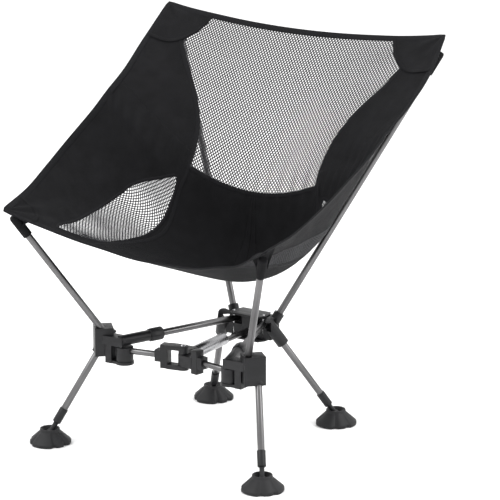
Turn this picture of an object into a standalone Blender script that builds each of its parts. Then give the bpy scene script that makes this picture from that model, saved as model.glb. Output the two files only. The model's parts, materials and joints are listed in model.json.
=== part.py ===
"""Ultralight backpacking chair: a folding hub frame on four splayed legs, and a sling on four poles.

Metres, +Z up, the chair faces -Y.  The origin is on the floor under the middle of the chair.
Each sub-part is one named object.  Moving pieces hang from empties that stand on their joint axes.
"""

import math

import bmesh
import bpy
import numpy as np
from mathutils import Matrix, Vector

# ---- Driving dimensions -------------------------------------------------------------------
GAP = 0.0003                  # running gap between touching pieces
TUBE_R = 0.0055               # seat poles, legs and frame bars are 11 mm tube
WALL = 0.001                  # tube wall
SIDES = 16                    # facets round a tube

ARM_Z = 0.1565                # height of the front half bars, the knee and the strut
BAR_Z = 0.173                 # height of the side bars
DRUM = Vector((0.1013, -0.1227, ARM_Z))      # right front knuckle, pivot of the half bar
HINGE = Vector((0.029, 0.080, BAR_Z))        # right side bar's pivot in the back hub
KNEE = Vector((0.0, -0.1045, ARM_Z))         # pin where the half bars and the strut meet
STRUT_END = Vector((0.0, 0.070, ARM_Z))      # where the strut enters the back hub

FRONT_POLE = (Vector((0.1370, -0.1265, 0.1795)), Vector((0.2355, -0.2315, 0.380)))
BACK_POLE = (Vector((0.0454, 0.1012, 0.1880)), Vector((0.2550, 0.2450, 0.6176)))
FRONT_LEG = (Vector((0.1515, -0.1185, 0.1534)), Vector((0.2046, -0.1865, 0.0165)))
BACK_LEG = (Vector((0.0589, 0.0875, 0.1457)), Vector((0.1216, 0.1535, 0.0165)))
SOCKET_DEPTH = 0.018          # how far a pole or leg goes into its socket

BALL_R = 0.0072               # ball at the end of each leg
BOWL_R = 0.0078               # bowl in the foot that holds the ball
NECK_R = 0.0040               # neck between the ball and the ankle
ANKLE_R = 0.0068              # ankle moulding on the leg's end
ANKLE = (0.019, 0.046)        # where the ankle starts and ends, measured up the leg from the ball
FOOT_R = 0.034                # rim radius of a foot
FOOT_RIM = 0.0055             # height of the foot's vertical rim
FOOT_TOP = 0.0255             # height of the foot's crown
CROWN_R = 0.0165

STRUT_INNER_R = 0.0045        # inner, fixed tube of the telescopic strut
STRUT_OUTER_R = 0.0065        # outer, sliding tube of the strut
STRUT_OUTER = (-0.084, 0.007) # where the outer tube starts and ends along Y
STRUT_INNER_START = -0.0205   # front end of the inner tube
BUTTON_R = 0.0021             # spring buttons in the outer tube

KNEE_R = 0.0085               # barrel round the knee pin
KNEE_HALF = 0.0196            # half the height of the knee
KNEE_SLOT = 0.0245            # depth of the fork's slot behind the pin
KNEE_REACH = 0.047            # from the pin to the end of each knee casting

PIN_R = 0.0022                # pivot pins
PLATE = 0.003                 # back hub's cover plates
SLEEVE = (0.1690, 0.2240)     # front hub's sleeve, measured along the side bar from its pivot
BAR_END = 0.1900              # end of the side bar inside the sleeve
THROUGH = 0.03                # length that takes a cutter clear through a casting
COLLAR_R = 0.0114             # collar behind the front hub's sleeve
COLLAR_LONG = 0.025
KNUCKLE_R = 0.0140            # knuckle that the half bar turns in
FLOOR = (-0.0220, -0.0172)    # front hub's floor below the knuckle, from the drum's middle
DRUM_PIN = (-0.0232, 0.0122)  # ends of the pin through the knuckle
DRUM_TOP = 0.0062             # top of the knuckle over the pivot's height
EYE_LOW, EYE_TOP = 0.0066, 0.0123      # strut's eye, over the pin's middle
TONGUE_LOW = 0.0120           # bottom of the tongue, under the pin's middle
FORK = {-1: "fork", 1: "tongue"}

FABRIC = 0.0016               # thickness of a sling panel

SIDES_OF_CHAIR = ((-1, "left"), (1, "right"))

ROOT = bpy.data.collections.new("backpacking_chair")
CUTTERS = bpy.data.collections.new("cutters")


# ---- Scene and material helpers -----------------------------------------------------------
def clear_scene():
    for thing in list(bpy.data.objects):
        bpy.data.objects.remove(thing, do_unlink=True)
    for collection in (ROOT, CUTTERS):
        bpy.context.scene.collection.children.link(collection)


def material(name, colour, roughness, metallic):
    made = bpy.data.materials.new(name)
    made.use_nodes = True
    shader = made.node_tree.nodes["Principled BSDF"]
    shader.inputs["Base Color"].default_value = (*colour, 1.0)
    shader.inputs["Roughness"].default_value = roughness
    shader.inputs["Metallic"].default_value = metallic
    return made


LOOKS = {
    "tube": ((0.11, 0.11, 0.115), 0.32, 1.0),
    "bright": ((0.50, 0.50, 0.51), 0.28, 1.0),
    "moulding": ((0.012, 0.012, 0.013), 0.5, 0.0),
    "fabric": ((0.010, 0.010, 0.012), 0.85, 0.0),
    "mesh": ((0.014, 0.014, 0.016), 0.8, 0.0),
}


def finish(thing, look):
    """Gives an object its own material, smooth shading on its round faces and its collection."""
    thing.data.materials.clear()
    thing.data.materials.append(material(thing.name, *LOOKS[look]))
    thing.data.shade_smooth()
    thing.data.set_sharp_from_angle(angle=math.radians(35))
    return thing


def from_bmesh(name, shape, collection=ROOT):
    mesh = bpy.data.meshes.new(name)
    bmesh.ops.recalc_face_normals(shape, faces=shape.faces)
    shape.to_mesh(mesh)
    shape.free()
    thing = bpy.data.objects.new(name, mesh)
    collection.objects.link(thing)
    if collection is CUTTERS:
        thing.hide_render = True
        thing.display_type = "WIRE"
    return thing


def joint_empty(name, place):
    """Empty that stands on a joint axis and carries the pieces of one moving body."""
    thing = bpy.data.objects.new(name, None)
    thing.location = place
    ROOT.objects.link(thing)
    return thing


def ride(empty, *pieces):
    """Hangs pieces on a joint's empty and leaves them where they are."""
    bpy.context.view_layer.update()
    for piece in pieces:
        place = piece.matrix_world.copy()
        piece.parent = empty
        piece.matrix_parent_inverse = empty.matrix_world.inverted()
        piece.matrix_world = place


def mirrored(point, side):
    return Vector((point.x * side, point.y, point.z))


def along(start, end):
    """Matrix that stands on start with its Z axis towards end."""
    turn = (end - start).to_track_quat("Z", "Y").to_matrix().to_4x4()
    return Matrix.Translation(start) @ turn


# ---- Solid helpers ------------------------------------------------------------------------
def rod(name, start, end, radius, collection=ROOT, sides=SIDES, radius_end=None):
    shape = bmesh.new()
    length = (end - start).length
    place = along(start, end) @ Matrix.Translation((0, 0, length / 2))
    tip = radius if radius_end is None else radius_end
    bmesh.ops.create_cone(
        shape, cap_ends=True, segments=sides, radius1=radius, radius2=tip, depth=length, matrix=place
    )
    return from_bmesh(name, shape, collection)


def box(name, size, place, collection=ROOT):
    shape = bmesh.new()
    bmesh.ops.create_cube(shape, size=1.0, matrix=place @ Matrix.Diagonal((*size, 1.0)))
    return from_bmesh(name, shape, collection)


def up(height):
    """Step straight up by a height."""
    return Vector((0, 0, height))


def combine(thing, others, operation):
    for other in others:
        step = thing.modifiers.new(f"{operation.lower()} {other.name}", "BOOLEAN")
        step.operation = operation
        step.solver = "EXACT"
        step.object = other
    return thing


def turned(name, profile, start, end, sides=SIDES):
    """Turned solid: the profile's (radius, height) points run down its outer side."""
    mesh = bpy.data.meshes.new(name)
    points = [(radius, 0.0, height) for radius, height in profile]
    edges = [(i, i + 1) for i in range(len(points) - 1)]
    if profile[0][0] > 0:
        edges.append((len(points) - 1, 0))
    mesh.from_pydata(points, edges, [])
    thing = bpy.data.objects.new(name, mesh)
    ROOT.objects.link(thing)
    thing.matrix_world = along(start, end)
    screw = thing.modifiers.new("turn", "SCREW")
    screw.steps = sides
    screw.render_steps = sides
    screw.use_merge_vertices = True
    screw.merge_threshold = 0.00001
    return thing


def tube(name, start, end, radius=TUBE_R, wall=WALL):
    length = (end - start).length
    outline = [(radius, length), (radius, 0.0), (radius - wall, 0.0), (radius - wall, length)]
    return finish(turned(name, outline, start, end), "tube")


def extruded(name, outline, low, high, collection=ROOT):
    """Upright prism over a flat outline of (x, y) points."""
    shape = bmesh.new()
    face = shape.faces.new([shape.verts.new((x, y, low)) for x, y in outline])
    grown = bmesh.ops.extrude_face_region(shape, geom=[face])
    top = [v for v in grown["geom"] if isinstance(v, bmesh.types.BMVert)]
    bmesh.ops.translate(shape, verts=top, vec=(0, 0, high - low))
    return from_bmesh(name, shape, collection)


# ---- Sling surface ------------------------------------------------------------------------
# Stations from the front rim to the top rim, down the middle and along the right-hand rim.
MIDDLE = [
    (0, -0.161, 0.321), (0, -0.105, 0.298), (0, -0.036, 0.272), (0, 0.022, 0.254), (0, 0.060, 0.256),
    (0, 0.083, 0.300), (0, 0.097, 0.385), (0, 0.132, 0.462), (0, 0.180, 0.545), (0, 0.234, 0.625),
]
EDGE = [
    (0.243, -0.243, 0.392), (0.251, -0.172, 0.409), (0.259, -0.110, 0.434), (0.264, -0.055, 0.460),
    (0.267, -0.005, 0.484), (0.268, 0.030, 0.502), (0.269, 0.068, 0.524), (0.271, 0.120, 0.552),
    (0.273, 0.178, 0.594), (0.266, 0.236, 0.645),
]
SEAT_END = 5.95               # station where the seat is sewn to the back panel
HIP = (0.45, 5.5)             # stations where the mesh in a side starts and ends
HIP_SHARE = 0.745             # outer edge of that mesh, as a share of the half width
# Seam of the middle panels with the sides, as (station, share of the half width).
SIDE_SEAM = [
    (0.0, 0.51), (5.2, 0.51), (5.95, 0.46), (6.6, 0.455), (7.2, 0.51), (7.8, 0.66), (8.3, 0.80), (9.0, 0.86),
]
# Inner edge of the outer side panels.
OUTER_SEAM = [(0.0, 0.755), (5.0, 0.755), (5.95, 0.47)]
RIM_SHARE = 0.975             # where the panels end, inside the rim tape
TAPE_R = 0.0022               # half thickness of the rim tape


def spline(points, station):
    """Catmull-Rom curve through the points, read at a station counted in points."""
    points = [Vector(p) for p in points]
    index = min(max(int(math.floor(station)), 0), len(points) - 2)
    part = station - index
    before = points[index - 1] if index > 0 else 2 * points[0] - points[1]
    after = points[index + 2] if index + 2 < len(points) else 2 * points[-1] - points[-2]
    a, b = points[index], points[index + 1]
    return 0.5 * (
        2 * a
        + (b - before) * part
        + (2 * before - 5 * a + 4 * b - after) * part ** 2
        + (3 * a - before - 3 * b + after) * part ** 3
    )


def sling_point(across, station):
    """Point of the sling: across runs -1 to 1, station 0 (front rim) to 9 (top rim)."""
    middle = spline(MIDDLE, station)
    edge = spline(EDGE, station)
    share = abs(across)
    rise = share ** 2
    return Vector((
        math.copysign(edge.x * share, across),
        middle.y + (edge.y - middle.y) * rise,
        middle.z + (edge.z - middle.z) * rise,
    ))


def sling_normal(across, station):
    """Unit normal on the side that a sitter touches."""
    step = 0.01
    over = sling_point(min(across + step, 1), station) - sling_point(max(across - step, -1), station)
    back = sling_point(across, min(station + step, 9)) - sling_point(across, max(station - step, 0))
    return over.cross(back).normalized()


def read_off(table, station):
    """Share of the half width that a seam has at a station."""
    return float(np.interp(station, *zip(*table)))


def seam_at(station):
    return read_off(SIDE_SEAM, station)


def outer_seam_at(station):
    return max(read_off(OUTER_SEAM, station), seam_at(station))


def sling_panel(name, stations, inner, outer, counts, look="fabric", lift=0.0):
    """Closed panel of the sling between two stations; inner and outer give its edges' shares."""
    shape = bmesh.new()
    columns, rows = counts
    layers = []
    for offset in (lift, lift + FABRIC):
        grid = []
        for row in range(rows + 1):
            station = stations[0] + (stations[1] - stations[0]) * row / rows
            line = []
            for column in range(columns + 1):
                share = column / columns
                across = inner(station) * (1 - share) + outer(station) * share
                lifted = sling_point(across, station) + sling_normal(across, station) * offset
                line.append(shape.verts.new(lifted))
            grid.append(line)
        layers.append(grid)
    for level, grid in enumerate(layers):
        for row in range(rows):
            for column in range(columns):
                ring = [grid[row][column], grid[row][column + 1]]
                ring += [grid[row + 1][column + 1], grid[row + 1][column]]
                shape.faces.new(ring if level else ring[::-1])
    border = [(0, c) for c in range(columns)] + [(r, columns) for r in range(rows)]
    border += [(rows, c) for c in range(columns, 0, -1)] + [(r, 0) for r in range(rows, 0, -1)]
    for here, there in zip(border, border[1:] + border[:1]):
        shape.faces.new([
            layers[0][here[0]][here[1]], layers[0][there[0]][there[1]],
            layers[1][there[0]][there[1]], layers[1][here[0]][here[1]],
        ])
    return finish(from_bmesh(name, shape), look)


def rim_tape():
    """Binding tape that runs round the whole rim of the sling as one closed loop."""
    loop = [sling_point(1.0, s) for s in np.linspace(0.0, 9.0, 19)]
    loop += [sling_point(a, 9.0) for a in np.linspace(0.8, -0.8, 9)]
    loop += [sling_point(-1.0, s) for s in np.linspace(9.0, 0.0, 19)]
    loop += [sling_point(a, 0.0) for a in np.linspace(-0.8, 0.8, 9)]
    curve = bpy.data.curves.new("rim_tape", "CURVE")
    curve.dimensions = "3D"
    curve.bevel_depth = TAPE_R
    curve.bevel_resolution = 1
    line = curve.splines.new("POLY")
    line.points.add(len(loop) - 1)
    for spot, point in zip(line.points, loop):
        spot.co = (*point, 1.0)
    line.use_cyclic_u = True
    thing = bpy.data.objects.new("rim_tape", curve)
    ROOT.objects.link(thing)
    thing.data.materials.append(material("rim_tape", *LOOKS["fabric"]))
    return thing


def corner_pocket(name, tip, base, radius):
    """Closed-ended sleeve sewn on a corner of the sling, over the tip of a pole."""
    length = (tip - base).length
    outline = [
        (0.0, length), (radius * 0.8, length), (radius, length - 0.004), (radius, 0.0),
        (radius - 0.0012, 0.0), (radius - 0.0012, length - 0.0045), (0.0, length - 0.002),
    ]
    return finish(turned(name, outline, base, tip, sides=12), "fabric")


def make_sling(bodies):
    lap = 0.006               # open strip between neighbouring panels, in shares of the half width
    gap = 0.05                # the same between stations
    first, last = 0.14, 8.86

    def middle(side):
        return lambda station: side * (seam_at(station) - lap)

    def inner(side):
        return lambda station: side * (seam_at(station) + lap)

    def hip_outer(side):
        return lambda station: side * min(HIP_SHARE, outer_seam_at(station) - 4 * lap)

    def outer_inner(side):
        return lambda station: side * (outer_seam_at(station) + lap)

    def outer(side):
        return lambda station: side * RIM_SHARE

    seat = sling_panel("seat_panel", (first, SEAT_END - gap), middle(-1), middle(1), (8, 14))
    back = sling_panel("back_mesh_panel", (SEAT_END + gap, last), middle(-1), middle(1), (8, 8), "mesh")
    ride(bodies["back"], seat, back, rim_tape())
    for side, word in SIDES_OF_CHAIR:
        front = sling_panel(f"front_side_panel_{word}", (first, HIP[0] - gap), inner(side), hip_outer(side),
                            (3, 2))
        hip = sling_panel(f"hip_mesh_{word}", HIP, inner(side), hip_outer(side), (3, 14), "mesh")
        wing = sling_panel(f"side_panel_{word}", (first, last), outer_inner(side), outer(side), (3, 32))
        ride(bodies["back"], front, hip, wing)


# ---- Back hub -----------------------------------------------------------------------------
def make_back_hub(bodies):
    """Moulded back hub: a box between two plates, a slanted sleeve for a leg and a pole at each end."""
    centre = Vector((0, 0.0905, 0.165))
    hub = box("back_hub", (0.088, 0.026, 0.036), Matrix.Translation(centre))
    adds, cuts = [], []
    for side, word in SIDES_OF_CHAIR:
        pole_end, pole_tip = (mirrored(p, side) for p in BACK_POLE)
        leg_end, foot = (mirrored(p, side) for p in BACK_LEG)
        leg_way = (foot - leg_end).normalized()
        pole_way = (pole_tip - pole_end).normalized()
        sleeve_top = leg_end - leg_way * 0.045
        adds.append(rod(f"back_sleeve_{word}", sleeve_top, leg_end + leg_way * 0.004, 0.0100, CUTTERS))
        adds.append(rod(f"back_collar_{word}", pole_end - pole_way * 0.024, pole_end, 0.0088, CUTTERS))
        cuts.append(rod(f"back_leg_hole_{word}", leg_end - leg_way * (SOCKET_DEPTH + GAP),
                        leg_end + leg_way * 0.02, TUBE_R + GAP, CUTTERS))
        cuts.append(rod(f"back_pole_hole_{word}", pole_end - pole_way * (SOCKET_DEPTH + GAP),
                        pole_end + pole_way * 0.02, TUBE_R + GAP, CUTTERS))
        hinge = mirrored(HINGE, side)
        cuts.append(box(f"bar_slot_{word}", (0.040, 0.0387, 0.0154),
                        Matrix.Translation(hinge + Vector((side * 0.0031, -0.0078, 0))), CUTTERS))
    cuts.append(rod("strut_hole", STRUT_END + Vector((0, -0.02, 0)), STRUT_END + Vector((0, 0.0225, 0)),
                    STRUT_INNER_R + GAP, CUTTERS))
    combine(combine(hub, adds, "UNION"), cuts, "DIFFERENCE")
    finish(hub, "moulding")
    plates, pins = [], []
    levels = (("upper", centre.z + 0.018 + GAP), ("lower", centre.z - 0.018 - GAP - PLATE))
    half = [(0.027, 0.066), (0.0335, 0.079), (0.0335, 0.085), (0.027, 0.104)]
    outline = half + [(-x, y) for x, y in reversed(half)]
    for word, low in levels:
        plate = extruded(f"back_hub_{word}_plate", outline, low, low + PLATE)
        plates.append(finish(plate, "moulding"))
    for side, word in SIDES_OF_CHAIR:
        foot_of_pin = mirrored(HINGE, side)
        low, high = levels[1][1] - 0.0012, levels[0][1] + PLATE + 0.0012
        ends = [Vector((foot_of_pin.x, foot_of_pin.y, z)) for z in (low, high)]
        pins.append(finish(rod(f"bar_pin_{word}", *ends, PIN_R, sides=12), "bright"))
        hole = rod(f"bar_pin_hole_{word}", ends[0] - Vector((0, 0, 0.01)), ends[1] + Vector((0, 0, 0.01)),
                   PIN_R + GAP, CUTTERS, sides=12)
        for piece in (hub, *plates):
            combine(piece, [hole], "DIFFERENCE")
    ride(bodies["back"], hub, *plates, *pins)


# ---- Poles, legs and feet -----------------------------------------------------------------
def make_pole(body, ends, side, name):
    """Seat pole with a rounded cap on its tip and a fabric pocket over the cap."""
    start, tip = (mirrored(p, side) for p in ends)
    way = (tip - start).normalized()
    pole = tube(name, start - way * SOCKET_DEPTH, tip - way * 0.012)
    cap_start = tip - way * (0.012 - GAP)
    profile = [(0.0, 0.007), (0.0038, 0.0062), (0.0056, 0.003), (0.0058, 0.0), (0.0, 0.0)]
    cap = finish(turned(f"{name}_cap", profile, cap_start, tip, sides=12), "moulding")
    pocket = corner_pocket(f"{name}_pocket", tip, tip - way * 0.040, 0.0078)
    ride(body, pole, cap, pocket)


def make_leg(body, ends, side, name):
    """Leg tube and the ankle moulding with the ball that the foot tilts on."""
    start, ball = (mirrored(p, side) for p in ends)
    rising = (start - ball).normalized()
    leg = tube(name, ball + rising * (ANKLE[1] - SOCKET_DEPTH / 2), start + rising * SOCKET_DEPTH)
    rise = [(0.0, ANKLE[1]), (ANKLE_R, ANKLE[1]), (ANKLE_R, ANKLE[0] + 0.002), (NECK_R, ANKLE[0])]
    turns = [math.radians(a) for a in (57, 30, 0, -30, -60)]
    sphere = [(BALL_R * math.cos(a), BALL_R * math.sin(a)) for a in turns]
    ankle = turned(f"{name}_ankle", rise + sphere + [(0.0, -BALL_R)], ball, start)
    bore = rod(f"{name}_bore", ball + rising * (ANKLE[1] - SOCKET_DEPTH / 2 - GAP),
               ball + rising * (ANKLE[1] + 0.01), TUBE_R + GAP, CUTTERS)
    finish(combine(ankle, [bore], "DIFFERENCE"), "moulding")
    ride(body, leg, ankle)
    return ball


def lobe(angle):
    """Share of the full radius at an angle: three wide and three narrow lobes with grooves between."""
    turn = math.degrees(angle) % 120.0
    middle, half = (40.0, 40.0) if turn < 80.0 else (100.0, 20.0)
    inside = 1.0 - abs(turn - middle) / half
    reach = 1.0 if half > 30.0 else 0.95
    return reach - 0.13 * max(0.0, 1.0 - inside * half / 6.0)


def make_foot(body, ball, side, name):
    """Wide lobed foot with a bowl in its crown."""
    rings = [
        (FOOT_R - 0.0015, 0.0, 1.0), (FOOT_R, 0.0012, 1.0), (FOOT_R, FOOT_RIM, 1.0),
        (CROWN_R + 0.0015, FOOT_TOP - 0.0055, 0.45), (CROWN_R, FOOT_TOP - 0.0045, 0.0),
        (CROWN_R - 0.0008, FOOT_TOP, 0.0), (0.0138, FOOT_TOP, 0.0), (BOWL_R + 0.0004, ball.z + 0.001, 0.0),
        (BOWL_R * 0.8, ball.z - BOWL_R * 0.6, 0.0), (BOWL_R * 0.3, ball.z - BOWL_R * 0.95, 0.0),
    ]
    steps = 36
    shape = bmesh.new()
    loops = []
    for radius, height, share in rings:
        loop = []
        for i in range(steps):
            angle = 2 * math.pi * i / steps
            reach = radius * (1 - share + share * lobe(angle + math.radians(20)))
            spot = Vector((reach * math.cos(angle), reach * math.sin(angle), 0.0))
            loop.append(shape.verts.new((ball.x + spot.x * side, ball.y + spot.y, height)))
        loops.append(loop)
    for low, high in zip(loops, loops[1:]):
        for i in range(steps):
            shape.faces.new([low[i], low[(i + 1) % steps], high[(i + 1) % steps], high[i]])
    shape.faces.new(loops[0][::-1])
    shape.faces.new(loops[-1])
    foot = finish(from_bmesh(name, shape), "moulding")
    empty = joint_empty(f"{name}_tilt", ball)
    ride(body, empty)
    ride(empty, foot)


# ---- Front corner: side bar, hub and half bar ---------------------------------------------
def make_front(bodies, side, word):
    """Everything that swings on one side bar, and the half bar that folds from its knuckle."""
    hinge = mirrored(HINGE, side)
    drum = mirrored(DRUM, side)
    over_drum = Vector((drum.x, drum.y, BAR_Z))
    way = (over_drum - hinge).normalized()

    def at(distance, height=0.0):
        return hinge + way * distance + Vector((0, 0, height))

    bar = tube(f"side_bar_{word}", at(-0.008), at(BAR_END))
    pin_hole = rod(f"side_bar_pin_hole_{word}", at(0, -0.02), at(0, 0.02), PIN_R + GAP, CUTTERS, sides=12)
    combine(bar, [pin_hole], "DIFFERENCE")
    bore_r = (TUBE_R + GAP) / math.cos(math.pi / 8)
    outline = [
        (COLLAR_R - 0.0014, 0.0), (COLLAR_R, -0.003), (COLLAR_R, 0.003 - COLLAR_LONG),
        (COLLAR_R - 0.0014, -COLLAR_LONG), (bore_r, -COLLAR_LONG), (bore_r, 0.0),
    ]
    collar = turned(f"bar_collar_{word}", outline, at(SLEEVE[0] - GAP), at(SLEEVE[1]), sides=8)
    finish(collar, "moulding")

    pole_end, leg_end = mirrored(FRONT_POLE[0], side), mirrored(FRONT_LEG[0], side)
    pole_way = (mirrored(FRONT_POLE[1], side) - pole_end).normalized()
    leg_way = (mirrored(FRONT_LEG[1], side) - leg_end).normalized()
    hub = rod(f"front_hub_{word}", at(SLEEVE[0]), at(SLEEVE[1]), 0.0088)
    outward = math.atan2(pole_end.y, pole_end.x)
    block_place = Matrix.Translation((side * 0.1440, -0.1215, 0.1665)) @ Matrix.Rotation(outward, 4, "Z")
    adds = [
        box(f"hub_block_{word}", (0.030, 0.034, 0.046), block_place, CUTTERS),
        box(f"hub_web_{word}", (0.042, 0.022, 0.0145),
            Matrix.Translation((side * 0.1180, -0.1255, 0.1714)), CUTTERS),
        box(f"hub_wall_{word}", (0.012, 0.026, 0.040),
            Matrix.Translation((side * 0.1245, -0.1225, 0.1545)), CUTTERS),
        rod(f"hub_leg_sleeve_{word}", leg_end - leg_way * 0.034, leg_end + leg_way * 0.012, 0.0095, CUTTERS),
        rod(f"hub_floor_{word}", drum + up(FLOOR[0]), drum + up(FLOOR[1]), 0.0150, CUTTERS),
        box(f"hub_floor_arm_{word}", (0.024, 0.024, FLOOR[1] - FLOOR[0]),
            Matrix.Translation((side * 0.1145, -0.1225, drum.z + (FLOOR[0] + FLOOR[1]) / 2)), CUTTERS),
    ]
    cuts = [
        rod(f"hub_bar_bore_{word}", at(SLEEVE[0] - 0.01), at(BAR_END + GAP), TUBE_R + GAP, CUTTERS),
        rod(f"hub_pole_bore_{word}", pole_end - pole_way * (SOCKET_DEPTH + GAP), pole_end + pole_way * 0.03,
            TUBE_R + GAP, CUTTERS),
        rod(f"hub_leg_bore_{word}", leg_end - leg_way * (SOCKET_DEPTH + GAP), leg_end + leg_way * 0.03,
            TUBE_R + GAP, CUTTERS),
        rod(f"hub_drum_room_{word}", drum + up(-0.0170), drum + up(DRUM_TOP + GAP), KNUCKLE_R + 2 * GAP,
            CUTTERS, sides=24),
        rod(f"hub_pin_hole_{word}", drum + up(-THROUGH), drum + up(DRUM_PIN[1] + GAP), PIN_R + GAP,
            CUTTERS, sides=12),
    ]
    finish(combine(combine(hub, adds, "UNION"), cuts, "DIFFERENCE"), "moulding")
    pin = rod(f"drum_pin_{word}", drum + up(DRUM_PIN[0]), drum + up(DRUM_PIN[1]), PIN_R, sides=12)
    finish(pin, "bright")
    ride(bodies["front", side], bar, collar, hub, pin)

    knuckle = rod(f"knuckle_{word}", drum + up(-0.0169), drum + up(DRUM_TOP), KNUCKLE_R, sides=24)
    arm_way = (KNEE - drum).normalized()
    combine(knuckle, [
        rod(f"knuckle_pin_hole_{word}", drum + up(-THROUGH), drum + up(THROUGH), PIN_R + GAP,
            CUTTERS, sides=12),
        rod(f"knuckle_bore_{word}", drum + arm_way * 0.0045, drum + arm_way * THROUGH,
            TUBE_R - WALL / 2 + GAP, CUTTERS),
    ], "DIFFERENCE")
    finish(knuckle, "moulding")
    arm = tube(f"half_bar_{word}", drum + arm_way * 0.0050, KNEE - arm_way * (KNEE_REACH - 0.014),
               TUBE_R - WALL / 2)
    ride(bodies["arm", side], knuckle, arm)


# ---- Knee and strut -----------------------------------------------------------------------
def make_knee(bodies):
    """Left casting: a fork.  Right casting: a tongue.  The strut's eye lies between them."""
    top = KNEE_HALF
    for side, word in SIDES_OF_CHAIR:
        drum = mirrored(DRUM, side)
        way = (drum - KNEE).normalized()
        across = Vector((-way.y, way.x, 0))
        place = Matrix.Translation(KNEE) @ Matrix((way, across, Vector((0, 0, 1)))).transposed().to_4x4()
        half_circle = [math.pi / 2 + math.pi * i / 10 for i in range(11)]
        outline = [(KNEE_R * math.cos(a), KNEE_R * math.sin(a)) for a in half_circle]
        outline += [(KNEE_SLOT + 0.0015, -KNEE_R), (KNEE_SLOT + 0.0015, KNEE_R)]

        def slab(name, start, end, half_height, half_width, collection=CUTTERS):
            spot = Matrix.Translation(((start + end) / 2, 0, 0))
            return box(name, (end - start, 2 * half_width, 2 * half_height), place @ spot, collection)

        def tab(name, low, high):
            piece = extruded(name, outline, low, high, CUTTERS)
            piece.matrix_world = place
            return piece

        body = slab(f"knee_{FORK[side]}", KNEE_SLOT, KNEE_REACH - 0.010, top - 0.0004, 0.0080, ROOT)
        adds = [slab(f"knee_{word}_end", KNEE_REACH - 0.0120, KNEE_REACH, 0.0095, 0.0075)]
        if side < 0:
            adds.append(tab("fork_upper", EYE_TOP + GAP, top))
            adds.append(tab("fork_lower", -top, -TONGUE_LOW - GAP))
        else:
            adds.append(tab("tongue", -TONGUE_LOW, EYE_LOW - GAP))
        bore = rod(f"knee_{word}_bore", KNEE + way * (KNEE_REACH - 0.0143), KNEE + way * (KNEE_REACH + 0.01),
                   TUBE_R - WALL / 2 + GAP, CUTTERS)
        finish(combine(combine(body, adds, "UNION"), [bore], "DIFFERENCE"), "moulding")
        ride(bodies["arm", side], body)
    dome = [(0.0, 0.0021), (0.0028, 0.0017), (0.0042, 0.0004), (0.0042, 0.0), (0.0, 0.0)]
    head = turned("knee_rivet", dome, KNEE + up(top + GAP), KNEE + up(top + 0.01))
    ride(bodies["arm", -1], finish(head, "bright"))


def make_strut(bodies):
    """Telescopic centre strut: the outer tube slides on the fixed inner tube."""
    def on_axis(y, lift=0.0):
        return Vector((0, y, ARM_Z + lift))

    inner = tube("strut_inner_tube", on_axis(STRUT_INNER_START), on_axis(STRUT_END.y + 0.022), STRUT_INNER_R)
    ride(bodies["back"], inner)
    outer = tube("strut_outer_tube", on_axis(STRUT_OUTER[0]), on_axis(STRUT_OUTER[1]), STRUT_OUTER_R)
    finish(outer, "bright")
    eye = rod("strut_socket", KNEE + up(EYE_LOW), KNEE + up(EYE_TOP), KNEE_R - 0.0005)
    neck = box("strut_neck", (0.0125, 0.014, EYE_TOP - EYE_LOW),
               Matrix.Translation((0, KNEE.y + 0.0075, KNEE.z + (EYE_TOP + EYE_LOW) / 2)), CUTTERS)
    barrel = box("strut_barrel", (0.0165, 0.014, 0.0200),
                 Matrix.Translation((0, KNEE.y + 0.0205, KNEE.z + 0.0022)), CUTTERS)
    bore = rod("strut_socket_bore", on_axis(STRUT_OUTER[0] - GAP), on_axis(STRUT_OUTER[0] + 0.02),
               STRUT_OUTER_R + GAP, CUTTERS)
    finish(combine(combine(eye, [neck, barrel], "UNION"), [bore], "DIFFERENCE"), "moulding")
    ride(bodies["strut"], outer, eye)
    for number, y in ((1, STRUT_OUTER[1] - 0.008), (2, STRUT_OUTER[1] - 0.020)):
        low, high = STRUT_OUTER_R - 0.0005, STRUT_OUTER_R + 0.0018
        button = rod(f"spring_button_{number}", on_axis(y, low), on_axis(y, high), BUTTON_R, sides=12,
                     radius_end=BUTTON_R * 0.75)
        hole = rod(f"button_hole_{number}", on_axis(y, 0), on_axis(y, 0.02), BUTTON_R + GAP, CUTTERS,
                   sides=12)
        combine(outer, [hole], "DIFFERENCE")
        empty = joint_empty(f"button_{number}_travel", on_axis(y, low))
        ride(bodies["strut"], empty)
        ride(empty, finish(button, "bright"))


def main():
    clear_scene()
    bodies = {"back": joint_empty("back_frame", Vector((0, 0, 0)))}
    bodies["strut"] = joint_empty("strut_slide", KNEE)
    ride(bodies["back"], bodies["strut"])
    for side, word in SIDES_OF_CHAIR:
        bodies["front", side] = joint_empty(f"side_bar_swing_{word}", mirrored(HINGE, side))
        bodies["arm", side] = joint_empty(f"half_bar_swing_{word}", mirrored(DRUM, side))
        ride(bodies["back"], bodies["front", side])
        ride(bodies["front", side], bodies["arm", side])
    make_back_hub(bodies)
    make_knee(bodies)
    make_strut(bodies)
    make_sling(bodies)
    for side, word in SIDES_OF_CHAIR:
        make_front(bodies, side, word)
        for place, body in (("front", bodies["front", side]), ("back", bodies["back"])):
            ends = (FRONT_POLE, FRONT_LEG) if place == "front" else (BACK_POLE, BACK_LEG)
            make_pole(body, ends[0], side, f"{place}_pole_{word}")
            ball = make_leg(body, ends[1], side, f"{place}_leg_{word}")
            make_foot(body, ball, side, f"foot_{place}_{word}")


main()
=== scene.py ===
"""Looks of the ultralight backpacking chair: sling cloth and net, seams, softened mouldings, tubes, light."""

import json
import math

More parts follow.
